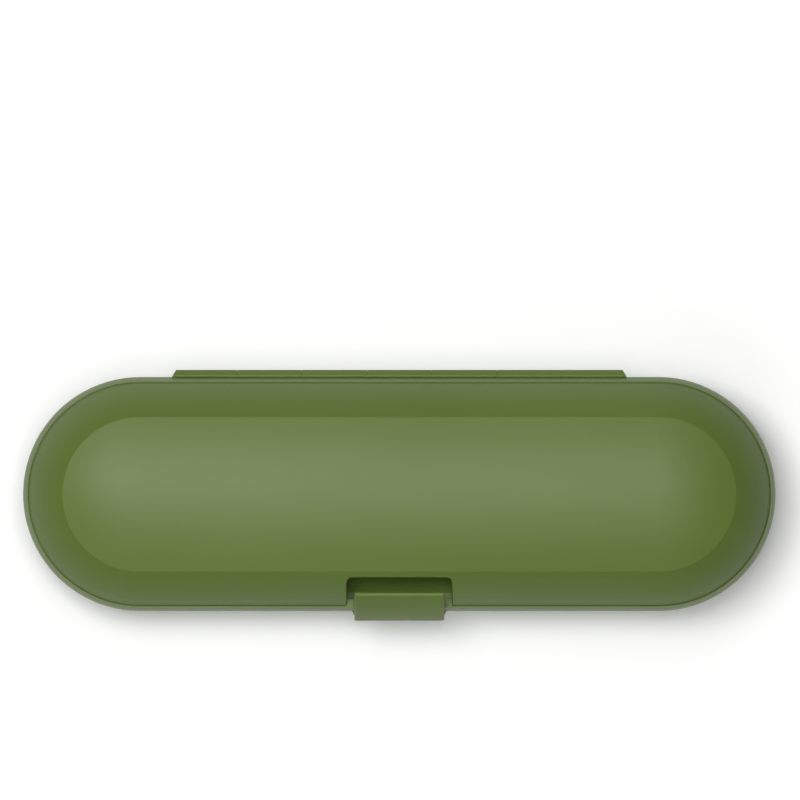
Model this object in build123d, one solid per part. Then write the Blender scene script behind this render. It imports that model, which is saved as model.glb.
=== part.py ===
from build123d import *
import os
from math import acos, degrees, radians, sqrt, tan

# Travel case for an electric toothbrush: two moulded shells with a pill-shaped plan, a
# pinned hinge along the back, a pinned snap latch at the front and a clip-in inner tray.
# +X runs along the case, -Y is the latch side, +Y the hinge side, +Z up, and the origin
# is the middle of the flat underside.

# ---- outside, millimetres ----
case_length = 220.0
case_width = 68.4
base_rim_height = 19.95        # where the base's rim ends
rim_gap = 0.5                  # shadow gap between the two rims
crease_height = 37.9           # where the lid's wall meets its domed panel
dome_rise = 3.2                # of the domed panel above the crease
wall = 1.8

# ---- barrel-shaped walls: arcs, each with a radius and the height of its centre ----
base_wall_radius = 27.0
base_wall_centre_height = 21.9
base_wall_inset = 0.55         # of the base's plain wall at the rim, from the case's outline
lid_wall_radius = 30.9
lid_wall_centre_height = 12.99
lid_wall_inset = 1.53          # of the lid's wall at the top of its band
crease_round = 0.4
foot_round = 0.5
floor_round = 2.5

# ---- raised band on each rim ----
base_band_height = 4.9
lid_band_height = 4.6
band_proud = 0.5
band_bulge = 0.17
band_groove_width = 0.22       # of the groove along the band's root
band_groove_depth = 0.45

# ---- tongue of the base inside the lid ----
land_width = 1.5               # outer land of the base's rim, outside the tongue
tongue_height = 2.2            # above the base's rim
tongue_clearance = 0.15
tongue_root = 0.8

# ---- rear hinge ----
hinge_proud = 2.1              # of the knuckles' back, beyond the case's outline
knuckle_size = 2.8             # across the flats of the square-edged knuckle
knuckle_round = 0.5
hinge_strip_length = 133.0     # at the rim
knuckle_count = 7
knuckle_gap = 0.1
knuckle_cone_height = 1.2      # of the cones by which each knuckle centres the next
hinge_recess_depth = 0.55      # of the bands behind the strip
hinge_recess_height = 4.4
strip_end_slant = 30.0         # of the strip's ends, in degrees
hinge_pin_diameter = 1.0
pin_end_cover = 2.0

# ---- latch ----
latch_width = 26.3
latch_top_drop = 2.85          # of its top, below the lid's crease, before its edges are rounded
finger_gap = 4.3               # between its top and the pocket's back wall
latch_crease_height = 22.9
latch_crease_proud = 2.8
latch_bulge = 1.05
latch_thickness = 1.7
latch_corner_round = 1.9
latch_edge_round = 0.8
latch_pivot_proud = 1.5        # of the pivot, beyond the case's outline
latch_pivot_height = 21.5
latch_barrel_radius = 1.1
latch_pin_diameter = 0.9
latch_pin_recess = 0.4
lug_width = 4.0
lug_spacing = 13.2
lug_gap = 0.15
hook_width = 18.0
hook_depth = 1.5
hook_drop = 0.3
hook_tip = 0.9
hook_clearance = 0.15

# ---- ledge on the base under the latch ----
ledge_overhang = 0.6           # beyond each side of the latch
ledge_proud = 1.6
ledge_top_height = 20.2
ledge_thickness = 1.4
ledge_end_taper = 0.7

# ---- finger pocket in the lid ----
pocket_side_gap = 2.2          # beside the latch
pocket_ahead = 1.7             # of its back wall, outside the lid's crease
pocket_corner_round = 1.7
pocket_edge_round = 0.4
pocket_wall = 1.5
pocket_floor_drop = 5.0        # of its floor below the lip
pocket_front_gap = 0.3         # between its well and the base's tongue
lip_width = 2.4

# ---- inner tray ----
tray_thickness = 1.4
tray_drop = 2.15               # of the tray's deck below the base's rim
tray_clearance = 0.3
shelf_width = 0.9
shelf_thickness = 1.5
trough_floor_gap = 1.8         # between the handle's trough and the base's floor
handle_headroom = 0.7          # between the handle's bay and the lid's ceiling at the crease
handle_bay_end = 10.0          # from the case's end
handle_bay_margin = 6.15       # from the base's inner wall at the hinge
bay_web = 3.3                  # between the handle's bay and a head bay
head_bay_end = 16.0            # from the case's end
head_bay_web = 7.5             # between a head bay and the scoop
head_bay_margin = 4.85         # from the base's inner wall at the latch
scoop_radius = 8.5
scoop_margin = 4.85            # from the base's inner wall
tray_edge_round = 0.5
stake_diameter = 2.4
stake_post_diameter = 5.0
stake_end = 12.0               # from the case's end
stake_offset = 7.0             # towards the latch
stake_head_height = 0.8
stake_head_diameter = 3.6
fit_clearance = 0.1

# ---- ribs in the lid and the soft pads that hold the handle ----
rib_thickness = 1.6
rib_spacing = 104.0
rib_clearance = 0.4            # above the tongue
head_clearance = 0.5
pad_thickness = 0.9
pad_cheek = 1.0
pad_grip = 1.5
pad_gap = 0.05                 # glue line under a pad
lid_pad_degrees = 116.0        # of arc
tray_pad_width = 14.0
tray_pad_spacing = 112.0
tray_pad_degrees = 110.0       # of arc

# ---- fits of the pins ----
tight_clearance = 0.01
running_clearance = 0.05
swing_clearance = 0.15

# ---- worked out from the sizes above ----
half_width = case_width / 2
half_straight = (case_length - case_width) / 2
dome_height = crease_height + dome_rise
hinge_reach = half_width + hinge_proud
ledge_length = latch_width + 2 * ledge_overhang
pocket_width = latch_width + 2 * pocket_side_gap
lid_rim_height = base_rim_height + rim_gap
rebate_height = base_rim_height + tongue_height + tongue_clearance
band_top_height = lid_rim_height + lid_band_height
parting_height = base_rim_height + rim_gap / 2
knuckle_radius = (knuckle_size / 2 - knuckle_round) * sqrt(2) + knuckle_round
hinge_y = hinge_reach - knuckle_radius
hinge_z = parting_height
latch_y = -(half_width + latch_pivot_proud)
latch_top_height = crease_height - latch_top_drop
handle_bay_length = case_length - 2 * handle_bay_end
head_bay_inner = scoop_radius + head_bay_web
head_bay_outer = case_length / 2 - head_bay_end
stake_spacing = case_length - 2 * stake_end
deck_height = base_rim_height - tray_drop
tray_underside = deck_height - tray_thickness
handle_bay_bottom = wall + trough_floor_gap + tray_thickness
handle_bay_top = crease_height - wall - handle_headroom
handle_bay_radius = (handle_bay_top - handle_bay_bottom) / 2
handle_height = (handle_bay_top + handle_bay_bottom) / 2
beyond = 4 * case_width        # longer than anything it cuts


def arc_reach(height, radius, centre_reach, centre_height):
    """Distance from the case's middle to an arc-shaped wall at one height."""
    return centre_reach + sqrt(radius**2 - (height - centre_height) ** 2)


def centre_of_wall(reach, height, radius, centre_height):
    """Reach of the centre of a wall arc that passes through one point."""
    return reach - sqrt(radius**2 - (height - centre_height) ** 2)


base_wall_centre = centre_of_wall(
    half_width - base_wall_inset, base_rim_height, base_wall_radius, base_wall_centre_height
)
lid_wall_centre = centre_of_wall(
    half_width - lid_wall_inset, band_top_height, lid_wall_radius, lid_wall_centre_height
)


def base_reach(height, depth=0.0):
    """Half width of the base's plain wall at one height, or of a surface inside it."""
    return arc_reach(height, base_wall_radius - depth, base_wall_centre, base_wall_centre_height)


def lid_reach(height, depth=0.0):
    """Half width of the lid's plain wall at one height, or of a surface inside it."""
    return arc_reach(height, lid_wall_radius - depth, lid_wall_centre, lid_wall_centre_height)


inner_reach = base_reach(base_rim_height, wall)
handle_bay_offset = inner_reach - handle_bay_margin - handle_bay_radius
head_bay_front = inner_reach - head_bay_margin
head_bay_back = handle_bay_radius - handle_bay_offset + bay_web
head_bay_radius = (head_bay_front - head_bay_back) / 2
head_bay_offset = head_bay_front - head_bay_radius
scoop_length = 2 * (inner_reach - scoop_margin)


def both_sides(half):
    """A cross-section from its half at positive reach."""
    return half + mirror(half, Plane.YZ)


def pill(section):
    """Carry a symmetric cross-section along the case and round its two ends."""
    middle = extrude(Plane.YZ * section, half_straight, both=True)
    half = section & Pos(beyond / 2, 0) * Rectangle(beyond, 2 * beyond)
    left_end = Pos(-half_straight, 0, 0) * revolve(Plane.YZ * half, Axis.Z, 180)
    return middle + left_end + mirror(left_end, Plane.YZ)


def block(x_size, y_from, y_to, z_from, z_to, x_middle=0.0):
    """A box given by its length and its two limits in depth and height."""
    size = (x_size, y_to - y_from, z_to - z_from)
    return Pos(x_middle, (y_from + y_to) / 2, (z_from + z_to) / 2) * Box(*size)


def rod(radius, length, y, z, x_middle=0.0):
    """A round bar along the case."""
    return Pos(x_middle, y, z) * Rot(0, 90, 0) * Cylinder(radius, length)


def capsule(radius, length, x, y, z, turn=0.0):
    """A bar with round ends, along the case or turned from that."""
    half = length / 2 - radius
    bar = Rot(0, 90, 0) * Cylinder(radius, 2 * half)
    ends = Pos(half, 0, 0) * Sphere(radius) + Pos(-half, 0, 0) * Sphere(radius)
    return Pos(x, y, z) * Rot(0, 0, turn) * (bar + ends)


def ring(reach_from, reach_to, z_from, z_to):
    """A rectangular band that follows the pill-shaped plan."""
    size = (reach_to - reach_from, z_to - z_from)
    half = Pos((reach_from + reach_to) / 2, (z_from + z_to) / 2) * Rectangle(*size)
    return pill(both_sides(half))


# ---- cross-sections of the two shells ----
def round_corners(section, level, radius):
    """Round the outer pair of corners on the lowest level of a section (0) or the highest (-1)."""
    corners = section.vertices().group_by(Axis.Y)[level].sort_by(Axis.X)
    return fillet([corners[0], corners[-1]], radius)


def base_section(bottom, top, depth, corner):
    """The base's plain outside, or a surface at some depth in it, between two heights."""
    foot = base_reach(bottom, depth)
    edge = base_reach(top, depth)
    middle_height = (bottom + top) / 2
    middle = (base_reach(middle_height, depth), middle_height)
    outline = [
        Line((0, bottom), (foot, bottom)),
        ThreePointArc((foot, bottom), middle, (edge, top)),
        Line((edge, top), (0, top)),
        Line((0, top), (0, bottom)),
    ]
    return round_corners(both_sides(make_face(outline)), 0, corner)


def lid_section(bottom):
    """The lid's plain outside, from a height up to its domed panel."""
    crease = lid_reach(crease_height)
    shoulder_height = (band_top_height + crease_height) / 2
    edge = half_width - lid_wall_inset
    slope = (lid_wall_inset - base_wall_inset) / lid_band_height
    foot = edge + slope * (band_top_height - bottom)
    wall_arc = ThreePointArc(
        (edge, band_top_height), (lid_reach(shoulder_height), shoulder_height), (crease, crease_height)
    )
    one_side = [Line((0, bottom), (foot, bottom)), Line((foot, bottom), (edge, band_top_height)), wall_arc]
    other_side = [mirror(piece, Plane.YZ) for piece in one_side]
    dome = ThreePointArc((crease, crease_height), (0, dome_height), (-crease, crease_height))
    return make_face(one_side + [dome] + other_side)


def band_groove(reach, height):
    """The narrow groove along the corner between a band and the wall it stands on."""
    slot = Rectangle(band_groove_width, 2 * band_groove_depth)
    return pill(both_sides(Pos(reach + band_groove_width / 2, height) * slot))


def band_section(rim, far, wall_at_far, wall_at_rim):
    """One side of the raised band, from the rim to its far edge, rooted in the wall."""
    outer_far = wall_at_far + band_proud
    root_rim = wall_at_rim - wall / 2
    root_far = wall_at_far - wall / 2
    bulged = SagittaArc((half_width, rim), (outer_far, far), band_bulge if far < rim else -band_bulge)
    outline = [
        bulged,
        Line((outer_far, far), (root_far, far)),
        Line((root_far, far), (root_rim, rim)),
        Line((root_rim, rim), (half_width, rim)),
    ]
    return both_sides(make_face(outline))


# ---- rear hinge: knuckles that share one outline ----
def hinge_strip():
    """The whole strip before it is divided: a square bar on edge, its ends slanted in plan."""
    flat = RectangleRounded(knuckle_size, knuckle_size, knuckle_round)
    bar = extrude(Plane.YZ * Pos(hinge_y, hinge_z) * Rot(0, 0, 45) * flat, hinge_strip_length, both=True)
    depth = hinge_reach - half_width
    shrink = depth * tan(radians(strip_end_slant))
    half = hinge_strip_length / 2
    plan = Polygon(
        (-half - shrink, half_width - depth),
        (half + shrink, half_width - depth),
        (half - shrink, hinge_reach),
        (-half + shrink, hinge_reach),
        align=None,
    )
    return bar & extrude(plan, dome_height)


knuckle_pitch = hinge_strip_length / knuckle_count


def knuckle_span(index, grow):
    """A slice of the hinge's length for one knuckle, made longer or shorter by its gaps."""
    middle = (index - (knuckle_count - 1) / 2) * knuckle_pitch
    is_end = index in (0, knuckle_count - 1)
    slack = knuckle_pitch if is_end else 0.0
    shift = slack / 2 * (1 if middle > 0 else -1)
    size = knuckle_pitch + slack - knuckle_gap + 2 * grow
    return block(size, hinge_y - half_width / 2, hinge_y + half_width / 2, 0, dome_height, middle + shift)


def knuckles(indices):
    """The knuckles that belong to one shell."""
    strip = hinge_strip()
    return [strip & knuckle_span(index, 0.0) for index in indices]


def centring_cones(shift):
    """The cones of the base's knuckles that point into the lid's, moved that way by a distance."""
    cone = Pos(0, 0, knuckle_cone_height / 2) * Cone(knuckle_radius, 0, knuckle_cone_height)
    foot = (knuckle_pitch + knuckle_gap) / 2 - shift
    cones = []
    for index in lid_knuckles:
        middle = (index - (knuckle_count - 1) / 2) * knuckle_pitch
        for side in (-1, 1):
            cones.append(Pos(middle + side * foot, hinge_y, hinge_z) * Rot(0, -90 * side, 0) * cone)
    return cones


def knuckle_relief(indices):
    """Room in one shell's rim for the other shell's knuckles to turn in."""
    swing = rod(knuckle_radius + swing_clearance, beyond, hinge_y, hinge_z)
    return [swing & knuckle_span(index, knuckle_gap) for index in indices]


base_knuckles = [index for index in range(knuckle_count) if index % 2 == 0]
lid_knuckles = [index for index in range(knuckle_count) if index % 2 == 1]
tongue_stop = block(hinge_strip_length + 2 * wall, half_width / 2, beyond, 0, dome_height)
hinge_recess = block(
    hinge_strip_length,
    half_width - hinge_recess_depth,
    beyond,
    hinge_z - hinge_recess_height / 2,
    hinge_z + hinge_recess_height / 2,
)


# ---- base shell ----
def base_shell():
    outside = pill(base_section(0, base_rim_height, 0, foot_round))
    band = pill(
        band_section(
            base_rim_height,
            base_rim_height - base_band_height,
            base_reach(base_rim_height - base_band_height),
            base_reach(base_rim_height),
        )
    )
    cavity = pill(base_section(wall, base_rim_height + wall, wall, floor_round))
    shelf_root = base_reach(tray_underside, wall)
    shelf_bottom = tray_underside - shelf_thickness
    shelf = ring(shelf_root - shelf_width, shelf_root + wall / 2, shelf_bottom, tray_underside)
    tongue_foot = base_rim_height - tongue_root
    tongue_top = base_rim_height + tongue_height
    tongue = ring(inner_reach, half_width - land_width, tongue_foot, tongue_top) - tongue_stop
    groove_height = base_rim_height - base_band_height
    groove = band_groove(base_reach(groove_height), groove_height)
    shell = outside + band - groove - cavity + shelf + tongue - hinge_recess
    for side in (-1, 1):
        shell += stake(side) & outside
    shell -= knuckle_relief(lid_knuckles)
    shell += knuckles(base_knuckles)
    shell += [hinge_strip() & cone for cone in centring_cones(0.0)]
    shell -= rod(hinge_pin_diameter / 2 + tight_clearance, beyond, hinge_y, hinge_z) & pin_run()
    return shell + latch_ledge() + latch_lugs()


def pin_run():
    """The length of the hinge's bore: open at the right end, covered at the left."""
    left = -hinge_strip_length / 2 + pin_end_cover
    right = hinge_strip_length
    return block(right - left, 0, hinge_reach, 0, dome_height, (left + right) / 2)


def stake(side):
    """A post under the tray with a stake through it and a flattened head on top."""
    at = Pos(side * stake_spacing / 2, -stake_offset, 0)
    post_height = tray_underside - wall / 2
    post = at * Pos(0, 0, wall / 2 + post_height / 2) * Cylinder(stake_post_diameter / 2, post_height)
    shank_height = tray_thickness + stake_head_height
    shank = at * Pos(0, 0, tray_underside + shank_height / 2) * Cylinder(stake_diameter / 2, shank_height)
    head_at = at * Pos(0, 0, deck_height + stake_head_height / 2)
    head = head_at * Cylinder(stake_head_diameter / 2, stake_head_height)
    return post + shank + head


def latch_ledge():
    """The shelf on the base's band under the latch, with slanted ends and underside."""
    front = half_width + ledge_proud
    root = half_width - land_width / 2
    bottom = ledge_top_height - ledge_thickness
    nose = ledge_top_height - ledge_thickness / 4
    section = Polygon(
        (-root, bottom), (-half_width, bottom), (-front, nose), (-front, ledge_top_height),
        (-half_width, ledge_top_height), (-root, base_rim_height - ledge_thickness / 2), align=None
    )
    bar = extrude(Plane.YZ * section, ledge_length, both=True)
    half = ledge_length / 2
    plan = Polygon((-half, -root), (-half, -half_width), (-half + ledge_end_taper, -front),
                   (half - ledge_end_taper, -front), (half, -half_width), (half, -root), align=None)
    return bar & extrude(plan, beyond)


def latch_lugs():
    """The two lugs that stand on the ledge and carry the latch's pin."""
    lugs = []
    back = latch_y + latch_barrel_radius
    for side in (-1, 1):
        x = side * lug_spacing / 2
        barrel = rod(latch_barrel_radius, lug_width, latch_y, latch_pivot_height, x)
        neck = block(lug_width, -half_width - ledge_proud, back, ledge_top_height - ledge_thickness / 2,
                     latch_pivot_height, x)
        bore = rod(latch_pin_diameter / 2 + running_clearance, beyond, latch_y, latch_pivot_height)
        lugs.append(barrel + neck - bore)
    return lugs


# ---- lid shell ----
lip_reach = half_width - lid_wall_inset + band_proud
pocket_back = -(lid_reach(crease_height) + pocket_ahead)
pocket_floor = band_top_height - pocket_floor_drop


def lid_outside():
    """The lid as a solid, with its raised band."""
    band = band_section(
        lid_rim_height, band_top_height, half_width - lid_wall_inset, half_width - base_wall_inset
    )
    return pill(round_corners(lid_section(lid_rim_height), -1, crease_round)) + pill(band)


def lid_inside(depth):
    """The space that lies deeper than a given distance under the lid's plain outside."""
    return pill(offset(lid_section(lid_rim_height - 2 * wall), -depth, kind=Kind.INTERSECTION))


def rounded_box(x_size, y_from, y_to, z_from, z_to, corner):
    """A box whose two back upright corners are rounded, even where it is shallower than they are."""
    box = block(x_size, y_to - beyond, y_to, z_from, z_to)
    back_edges = box.edges().filter_by(Axis.Z).sort_by(Axis.Y)[-2:]
    return fillet(back_edges, corner) & block(x_size, y_from, y_to, z_from, z_to)


def lid_ribs():
    """Two cross ribs, scalloped over the handle's bay and the head bays."""
    bottom = base_rim_height + tongue_height + rib_clearance
    room = lid_inside(wall / 2)
    handle = rod(handle_bay_radius, beyond, handle_bay_offset, handle_height)
    head = rod(head_bay_radius + head_clearance, beyond, -head_bay_offset, deck_height)
    ribs = []
    for side in (-1, 1):
        sheet = block(rib_thickness, -half_width, half_width, bottom, dome_height, side * rib_spacing / 2)
        ribs.append((sheet & room) - handle - head)
    return ribs


def pocket_room(grow, y_from, z_from, z_to=beyond):
    """The finger pocket's room, or its walls' outside, behind one depth and between two heights."""
    width = pocket_width + 2 * grow
    return rounded_box(width, y_from, pocket_back + grow, z_from, z_to, pocket_corner_round + grow)


def lid_shell():
    """The lid with its finger pocket, its ribs, the rebate over the tongue and its knuckles."""
    outside = lid_outside()
    groove = band_groove(half_width - lid_wall_inset, band_top_height)
    groove -= block(pocket_width, -case_width, 0, 0, dome_height)
    rebate_reach = half_width - land_width + tongue_clearance
    rebate = ring(inner_reach - wall, rebate_reach, lid_rim_height - rim_gap, rebate_height)
    shell = outside - lid_inside(wall) + lid_ribs()
    shell += pocket_room(pocket_wall, -half_width, rebate_height) & outside
    shell -= rebate - tongue_stop
    well_front = pocket_front_gap - inner_reach
    shell += pocket_room(pocket_wall, well_front, pocket_floor - pocket_wall, band_top_height)
    shell -= pocket_room(0, -case_width, band_top_height)
    shell -= pocket_room(0, lip_width - lip_reach, pocket_floor)
    shell = fillet(pocket_rim(shell), pocket_edge_round) - groove - hinge_recess
    shell -= knuckle_relief(base_knuckles)
    shell += knuckles(lid_knuckles)
    shell -= centring_cones(knuckle_gap)
    return shell - rod(hinge_pin_diameter / 2 + running_clearance, beyond, hinge_y, hinge_z)


def pocket_rim(shell):
    """The long edge where the pocket's back wall meets the lid's outside."""
    edges = shell.edges().filter_by(Axis.X)
    near = edges.filter_by_position(Axis.Y, pocket_back - tight_clearance, pocket_back + tight_clearance)
    return near.sort_by(Axis.Z)[-1:]


# ---- latch ----
def arc_through(start, end, bulge):
    """Centre and radius of the arc from start to end that bulges to the right of that line."""
    chord = end - start
    radius = (chord.length**2 / 4 + bulge**2) / (2 * bulge)
    inward = Vector(-chord.Y, chord.X) / chord.length
    return (start + end) / 2 + inward * (radius - bulge), radius


latch_top = Vector(pocket_back - finger_gap, latch_top_height)
latch_crease = Vector(-(half_width + latch_crease_proud), latch_crease_height)
latch_pivot = Vector(latch_y, latch_pivot_height)
latch_centre, latch_radius = arc_through(latch_top, latch_crease, latch_bulge)


def latch_skin(height, depth):
    """Depth position of a surface under the latch's face, at one height."""
    return latch_centre.X - sqrt((latch_radius - depth) ** 2 - (height - latch_centre.Y) ** 2)


def latch_plate_section():
    """The curved plate, cut upright at its top, with the barrel at its foot."""
    plate = Pos(latch_centre) * (Circle(latch_radius) - Circle(latch_radius - latch_thickness))
    above = latch_top_height + latch_thickness
    ahead = latch_crease.X - latch_thickness
    window = Polygon(
        latch_crease, latch_pivot, (latch_top.X, latch_pivot_height), (latch_top.X, above),
        (ahead, above), (ahead, latch_crease_height), align=None
    )
    arm = latch_crease - latch_pivot
    turn = degrees(acos(latch_barrel_radius / arm.length))
    tangent_point = latch_pivot + (arm / arm.length * latch_barrel_radius).rotate(Axis.Z, turn)
    cheek = Polygon(latch_crease, tangent_point, latch_pivot, align=None)
    return (plate & window) + cheek + Pos(latch_pivot) * Circle(latch_barrel_radius)


def hook_section():
    """The hook that reaches over the lip of the lid and dips behind it."""
    under = band_top_height + hook_clearance
    top = under + hook_depth
    inner = lip_width - lip_reach + hook_clearance
    tip = band_top_height - hook_drop
    root = latch_thickness / 2
    return Polygon(
        (latch_skin(under, root), under), (inner, under), (inner, tip), (inner + hook_tip, tip),
        (inner + hook_tip, under + hook_depth / 2), (inner, top), (latch_skin(top, root), top), align=None
    )


def latch():
    """The latch: plate, hook and the barrels that turn on its pin."""
    body = extrude(Plane.YZ * latch_plate_section(), latch_width / 2, both=True)
    face = Pos(0, latch_top_height / 2) * Rectangle(latch_width, latch_top_height)
    face = fillet(face.vertices().sort_by(Axis.Y)[-2:], latch_corner_round)
    body &= extrude(Plane.XZ * face, beyond)
    skin = body.faces().sort_by(SortBy.AREA)[-1]
    body = fillet(skin.edges().sort_by(Axis.Z)[1:].sort_by(SortBy.LENGTH), latch_edge_round)
    body += extrude(Plane.YZ * hook_section(), hook_width / 2, both=True)
    slot_radius = latch_barrel_radius + swing_clearance
    for side in (-1, 1):
        slot_length = lug_width + 2 * lug_gap
        body -= rod(slot_radius, slot_length, latch_y, latch_pivot_height, side * lug_spacing / 2)
    return body - rod(latch_pin_diameter / 2 + tight_clearance, beyond, latch_y, latch_pivot_height)


# ---- pins ----
def hinge_pin():
    """The steel wire pin, flush with the slanted right end of the strip."""
    length = hinge_strip_length - 2 * pin_end_cover
    return rod(hinge_pin_diameter / 2, length, hinge_y, hinge_z)


def latch_pin():
    """The latch's steel pin, a little short of the latch's sides."""
    length = latch_width - 2 * latch_pin_recess
    return rod(latch_pin_diameter / 2, length, latch_y, latch_pivot_height)


# ---- inner tray and soft pads ----
def bays(grow):
    """The handle's bay, the two head bays and the finger scoop between them."""
    handle_length = handle_bay_length + 2 * grow
    shapes = [
        capsule(handle_bay_radius + grow, handle_length, 0, handle_bay_offset, handle_height),
        capsule(scoop_radius + grow, scoop_length + 2 * grow, 0, 0, deck_height, 90),
    ]
    for side in (-1, 1):
        x = side * (head_bay_inner + head_bay_outer) / 2
        length = head_bay_outer - head_bay_inner + 2 * grow
        shapes.append(capsule(head_bay_radius + grow, length, x, -head_bay_offset, deck_height))
    return shapes


def round_mouths(tray, reach):
    """Round the mouths in the tray's deck, those edges that lie within a reach of its middle."""
    mouths = tray.faces().sort_by(Axis.Z)[-1].inner_wires()
    edges = [edge for mouth in mouths for edge in mouth.edges() if abs(edge.center().X) <= reach]
    return fillet(edges, tray_edge_round)


def inner_tray():
    """A thin moulding with a flat deck and four troughs, held by two flattened stakes."""
    edge = base_reach(tray_underside, wall) - tray_clearance
    deck = ring(0, edge, tray_underside, deck_height)
    below = block(case_length, -half_width, half_width, 0, deck_height)
    troughs = [shape & below for shape in bays(tray_thickness)]
    handle, scoop, *heads = bays(0)
    holes = [
        Pos(side * stake_spacing / 2, -stake_offset, deck_height)
        * Cylinder(stake_diameter / 2 + fit_clearance, 2 * tray_thickness + fit_clearance)
        for side in (-1, 1)
    ]
    tray = round_mouths(deck + troughs - handle - heads, case_length)
    return round_mouths(tray - scoop, scoop_radius) - holes


def curved_strip(radius_from, radius_to, width, span):
    """A strip bent round the handle's axis, its middle straight above that axis."""
    size = (width, radius_to - radius_from)
    face = Plane.XZ * Pos(0, (radius_from + radius_to) / 2) * Rectangle(*size)
    return Rot(-span / 2, 0, 0) * revolve(face, Axis.X, span)


def tray_pad(side):
    """A soft pad lying in the handle's trough."""
    outer = handle_bay_radius - pad_gap
    strip = curved_strip(outer - pad_thickness, outer, tray_pad_width, tray_pad_degrees)
    return Pos(side * tray_pad_spacing / 2, handle_bay_offset, handle_height) * Rot(180, 0, 0) * strip


def lid_pad(side):
    """A soft channel pressed over the scallop of a lid rib."""
    width = rib_thickness + 2 * pad_cheek
    groove = rib_thickness + 2 * pad_gap
    inner = handle_bay_radius - pad_thickness
    channel = curved_strip(inner, handle_bay_radius + pad_grip, width, lid_pad_degrees)
    bottom = handle_bay_radius - pad_gap
    slot = curved_strip(bottom, handle_bay_radius + 2 * pad_grip, groove, lid_pad_degrees + 1)
    return Pos(side * rib_spacing / 2, handle_bay_offset, handle_height) * (channel - slot)


os.makedirs("parts", exist_ok=True)
pieces = {
    "base_shell": base_shell(),
    "lid_shell": lid_shell(),
    "hinge_pin": hinge_pin(),
    "latch": latch(),
    "latch_pin": latch_pin(),
    "inner_tray": inner_tray(),
    "handle_pad_left": tray_pad(-1),
    "handle_pad_right": tray_pad(1),
    "lid_pad_left": lid_pad(-1),
    "lid_pad_right": lid_pad(1),
}
for name, piece in pieces.items():
    piece.label = name
    export_step(piece, f"parts/{name}.step")
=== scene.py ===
import bmesh
import bpy
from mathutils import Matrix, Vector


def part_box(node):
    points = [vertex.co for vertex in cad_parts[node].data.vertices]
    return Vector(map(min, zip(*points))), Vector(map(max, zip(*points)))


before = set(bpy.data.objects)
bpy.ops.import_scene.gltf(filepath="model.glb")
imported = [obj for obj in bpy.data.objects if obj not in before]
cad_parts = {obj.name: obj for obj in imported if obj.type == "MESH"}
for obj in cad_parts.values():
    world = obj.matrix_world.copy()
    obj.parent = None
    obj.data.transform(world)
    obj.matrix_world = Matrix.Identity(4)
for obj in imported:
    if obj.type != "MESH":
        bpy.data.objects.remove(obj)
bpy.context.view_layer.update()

# ---- camera ----
# The case is seen in plan from straight above, the hinge at the top, through a very long lens
# that takes nearly all the perspective away. The lens axis is a little behind the case.
rim_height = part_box("base_shell")[0].z + 0.020
lens_axis = (0.0002, 0.0275)
frame_width = 0.2339
lens = 1000.0
sensor = 36.0
camera_distance = frame_width * lens / sensor
camera_data = bpy.data.cameras.new("camera")
camera_data.lens = lens
camera_data.sensor_width = sensor
camera_data.clip_end = 20.0
camera = bpy.data.objects.new("camera", camera_data)
camera.location = (*lens_axis, rim_height + camera_distance)
bpy.context.scene.collection.objects.link(camera)
bpy.context.scene.camera = camera


# ---- outer shells ----
# The base and the lid are moulded in olive green polypropylene with a satin, finely spark-eroded
# skin. The mould gives it a soft grain, and the melt leaves faint changes of tone along the flow.
# The mould's core in the lid's finger pocket is left rougher than its outside.
def new_material(name, color, roughness):
    """A material with its shader's colour and roughness set, its node tree and that shader."""
    material = bpy.data.materials.new(name)
    material.use_nodes = True
    shader = material.node_tree.nodes["Principled BSDF"]
    shader.inputs["Base Color"].default_value = (*color, 1.0)
    shader.inputs["Roughness"].default_value = roughness
    return material, material.node_tree, shader


def noise(tree, scale, detail, stretch=(1.0, 1.0, 1.0)):
    """A noise on the piece's own coordinates, of so many grains a metre, stretched by direction."""
    place = tree.nodes.new("ShaderNodeTexCoord")
    mapping = tree.nodes.new("ShaderNodeMapping")
    mapping.inputs["Scale"].default_value = stretch
    grains = tree.nodes.new("ShaderNodeTexNoise")
    grains.inputs["Scale"].default_value = scale
    grains.inputs["Detail"].default_value = detail
    tree.links.new(place.outputs["Object"], mapping.inputs["Vector"])
    tree.links.new(mapping.outputs["Vector"], grains.inputs["Vector"])
    return grains.outputs["Fac"]


def ramp(tree, source, low, high, low_color, high_color):
    """Colours a noise from one colour at a low value to another at a high value."""
    colors = tree.nodes.new("ShaderNodeValToRGB")
    colors.color_ramp.elements[0].position = low
    colors.color_ramp.elements[1].position = high
    colors.color_ramp.elements[0].color = (*low_color, 1.0)
    colors.color_ramp.elements[1].color = (*high_color, 1.0)
    tree.links.new(source, colors.inputs["Fac"])
    return colors.outputs["Color"]


def spread(tree, source, low, high):
    """Maps a noise to a range of numbers."""
    mapped = tree.nodes.new("ShaderNodeMapRange")
    mapped.inputs["To Min"].default_value = low
    mapped.inputs["To Max"].default_value = high
    tree.links.new(source, mapped.inputs["Value"])
    return mapped.outputs["Result"]


def bump(tree, shader, source, height):
    """Raises the grain by a height in metres."""
    relief = tree.nodes.new("ShaderNodeBump")
    relief.inputs["Distance"].default_value = height
    tree.links.new(source, relief.inputs["Height"])
    tree.links.new(relief.outputs["Normal"], shader.inputs["Normal"])


waxy_shine = 0.30
flow_marks = 45.0              # a metre
flow_detail = 3.0
flow_along = (0.35, 1.0, 1.0)
skin_grains = 2600.0           # a metre
skin_detail = 2.0


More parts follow.
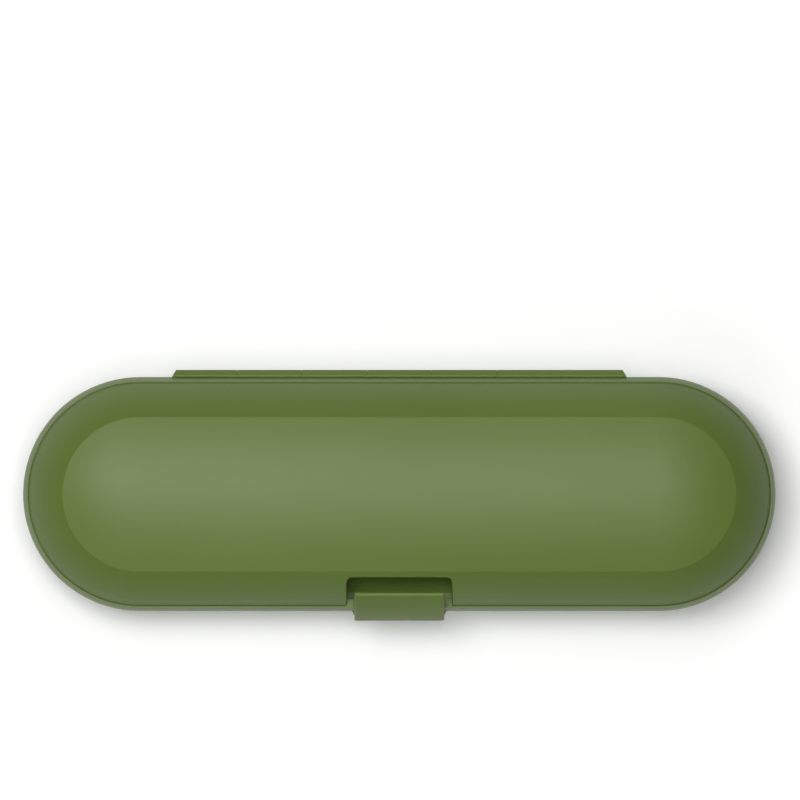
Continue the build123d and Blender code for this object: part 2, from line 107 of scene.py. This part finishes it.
def moulded(name, tones, gloss, grain_height):
    """A moulded plastic: melt tone, mould grain in relief and a gloss that varies with it."""
    dark, light = tones
    smooth, rough = gloss
    material, tree, shader = new_material(name, light, smooth)
    shader.inputs["Specular IOR Level"].default_value = waxy_shine
    flow = noise(tree, flow_marks, flow_detail, flow_along)
    tree.links.new(ramp(tree, flow, 0.35, 0.65, dark, light), shader.inputs["Base Color"])
    grain = noise(tree, skin_grains, skin_detail)
    tree.links.new(spread(tree, grain, smooth, rough), shader.inputs["Roughness"])
    bump(tree, shader, grain, grain_height)
    return material


def sum_up(tree, operation, first, second):
    """One sum of a socket with a socket or a number."""
    result = tree.nodes.new("ShaderNodeMath")
    result.operation = operation
    tree.links.new(first, result.inputs[0])
    if isinstance(second, float):
        result.inputs[1].default_value = second
    else:
        tree.links.new(second, result.inputs[1])
    return result.outputs["Value"]


def leave_rough(material, middle, half_size, extra):
    """Adds roughness to what lies in a box of the mould, given by its middle and half its size."""
    tree = material.node_tree
    roughness = tree.nodes["Principled BSDF"].inputs["Roughness"]
    place = tree.nodes.new("ShaderNodeTexCoord")
    in_box = tree.nodes.new("ShaderNodeMapping")
    in_box.inputs["Scale"].default_value = [1.0 / half for half in half_size]
    in_box.inputs["Location"].default_value = [-at / half for at, half in zip(middle, half_size)]
    away = tree.nodes.new("ShaderNodeVectorMath")
    away.operation = "ABSOLUTE"
    sides = tree.nodes.new("ShaderNodeSeparateXYZ")
    tree.links.new(place.outputs["Object"], in_box.inputs["Vector"])
    tree.links.new(in_box.outputs["Vector"], away.inputs[0])
    tree.links.new(away.outputs["Vector"], sides.inputs["Vector"])
    farthest = sum_up(tree, "MAXIMUM", sides.outputs["X"], sides.outputs["Y"])
    farthest = sum_up(tree, "MAXIMUM", farthest, sides.outputs["Z"])
    inside = sum_up(tree, "LESS_THAN", farthest, 1.0)
    rougher = sum_up(tree, "MULTIPLY", inside, extra)
    skin = roughness.links[0].from_socket
    tree.links.new(sum_up(tree, "ADD", skin, rougher), roughness)


def dress(node, material):
    """Gives a node of the frame its finish."""
    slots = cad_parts[node].data.materials
    slots.clear()
    slots.append(material)


olive = ((0.098, 0.154, 0.0235), (0.106, 0.165, 0.0275))
satin = (0.36, 0.48)
fine_grain = 0.00003
pocket_middle = (0.0, -0.0266, 0.0265)
pocket_half_size = (0.0156, 0.0023, 0.0085)
pocket_extra_roughness = 0.5
shell_plastic = moulded("shell_plastic", olive, satin, fine_grain)
lid_plastic = moulded("lid_plastic", olive, satin, fine_grain)
leave_rough(lid_plastic, pocket_middle, pocket_half_size, pocket_extra_roughness)
dress("base_shell", shell_plastic)
dress("lid_shell", lid_plastic)

# ---- latch ----
# The snap latch is moulded in the same plastic and swings on a steel wire in the base's lugs.
dress("latch", shell_plastic)

# ---- pins ----
# Both pins are drawn stainless wire, pressed into one moulding and free to turn in the other.
steel_gray = (0.55, 0.55, 0.53)
steel_roughness = 0.32
draw_marks = 4000.0            # a metre
draw_detail = 2.0
draw_along = (0.02, 1.0, 1.0)
draw_depth = 0.00001
steel, steel_tree, steel_shader = new_material("pin_steel", steel_gray, steel_roughness)
steel_shader.inputs["Metallic"].default_value = 1.0
bump(steel_tree, steel_shader, noise(steel_tree, draw_marks, draw_detail, draw_along), draw_depth)
for pin in ("hinge_pin", "latch_pin"):
    dress(pin, steel)

# ---- inner tray ----
# The tray is a thin moulding of a darker, plain matt plastic, held by two flattened stakes.
dark_olive = ((0.060, 0.085, 0.028), (0.070, 0.098, 0.034))
matt = (0.50, 0.66)
dress("inner_tray", moulded("tray_plastic", dark_olive, matt, fine_grain))

# ---- soft pads ----
# The pads are a soft matt elastomer: two strips glued in the tray's trough and two channels
# pressed over the lid's ribs.
soft_black = ((0.020, 0.024, 0.016), (0.028, 0.032, 0.022))
dull = (0.62, 0.78)
pad_rubber = moulded("pad_rubber", soft_black, dull, fine_grain)
for pad in ("handle_pad_left", "handle_pad_right", "lid_pad_left", "lid_pad_right"):
    dress(pad, pad_rubber)

# ---- floor ----
# A plain white sheet, a hair's breadth under the case. A glow that only the camera and
# reflections see brings it to pure white where it is lit, and the case's soft shadow stays on it.
floor_half_size = 1.2
floor_gap = 0.00005
floor_white = (0.92, 0.92, 0.92)
floor_roughness = 0.9
floor_glow = 0.12
white = (1.0, 1.0, 1.0, 1.0)
floor_mesh = bpy.data.meshes.new("floor")
sheet = bmesh.new()
bmesh.ops.create_grid(sheet, x_segments=1, y_segments=1, size=floor_half_size)
bmesh.ops.translate(sheet, verts=sheet.verts, vec=(0.0, 0.0, -floor_gap))
sheet.to_mesh(floor_mesh)
sheet.free()
floor = bpy.data.objects.new("floor", floor_mesh)
bpy.context.scene.collection.objects.link(floor)


def seen_not_lit(tree, strength):
    """A strength for the camera and for reflections, and none for the light on the case."""
    rays = tree.nodes.new("ShaderNodeLightPath").outputs
    seen = sum_up(tree, "MAXIMUM", rays["Is Camera Ray"], rays["Is Glossy Ray"])
    seen = sum_up(tree, "MAXIMUM", seen, rays["Is Transmission Ray"])
    return sum_up(tree, "MULTIPLY", seen, strength)


floor_paper, floor_tree, floor_shader = new_material("floor_paper", floor_white, floor_roughness)
floor_shader.inputs["Emission Color"].default_value = white
floor_tree.links.new(seen_not_lit(floor_tree, floor_glow), floor_shader.inputs["Emission Strength"])
floor_mesh.materials.append(floor_paper)


# ---- studio light ----
# A broad soft box overhead with a smaller, harder one in it and another beside it on the left,
# and weaker ones behind and in front. Together they light a white sheet to plain white.
def soft_box(name, size, place, power):
    """A square area light that points at the case."""
    lamp_data = bpy.data.lights.new(name, "AREA")
    lamp_data.size = size
    lamp_data.energy = power
    lamp = bpy.data.objects.new(name, lamp_data)
    lamp.location = place
    target = bpy.data.objects.new(name + "_aim", None)
    target.location = (0.0, 0.0, rim_height)
    for thing in (lamp, target):
        bpy.context.scene.collection.objects.link(thing)
    track = lamp.constraints.new("TRACK_TO")
    track.target = target
    track.track_axis = "TRACK_NEGATIVE_Z"
    track.up_axis = "UP_Y"


soft_box("overhead", size=0.7, place=(0.0, 0.0, 1.1), power=4.45)
soft_box("overhead_key", size=0.25, place=(0.0, 0.1, 1.2), power=1.7)
soft_box("overhead_left", size=0.4, place=(-0.32, 0.2, 1.05), power=4.75)
soft_box("behind", size=0.6, place=(0.0, 0.6, 0.9), power=1.75)
soft_box("front_left", size=0.6, place=(-0.5, -0.5, 0.9), power=0.9)
soft_box("front", size=0.5, place=(0.0, -0.8, 0.7), power=1.2)

# ---- far backdrop ----
# A low white screen stands all round, far off. It shows behind the case in a level view, where
# the floor ends, and it lights nothing. Above it the room is dark.
screen_rise = 0.12
world = bpy.data.worlds.new("studio")
bpy.context.scene.world = world
world.use_nodes = True
room = world.node_tree
direction = room.nodes.new("ShaderNodeTexCoord")
sides = room.nodes.new("ShaderNodeSeparateXYZ")
room.links.new(direction.outputs["Generated"], sides.inputs["Vector"])
on_screen = sum_up(room, "LESS_THAN", sides.outputs["Z"], screen_rise)
glow = sum_up(room, "MULTIPLY", on_screen, seen_not_lit(room, 1.0))
backdrop = room.nodes["Background"]
backdrop.inputs["Color"].default_value = white
room.links.new(glow, backdrop.inputs["Strength"])
bpy.context.scene.view_settings.view_transform = "Standard"
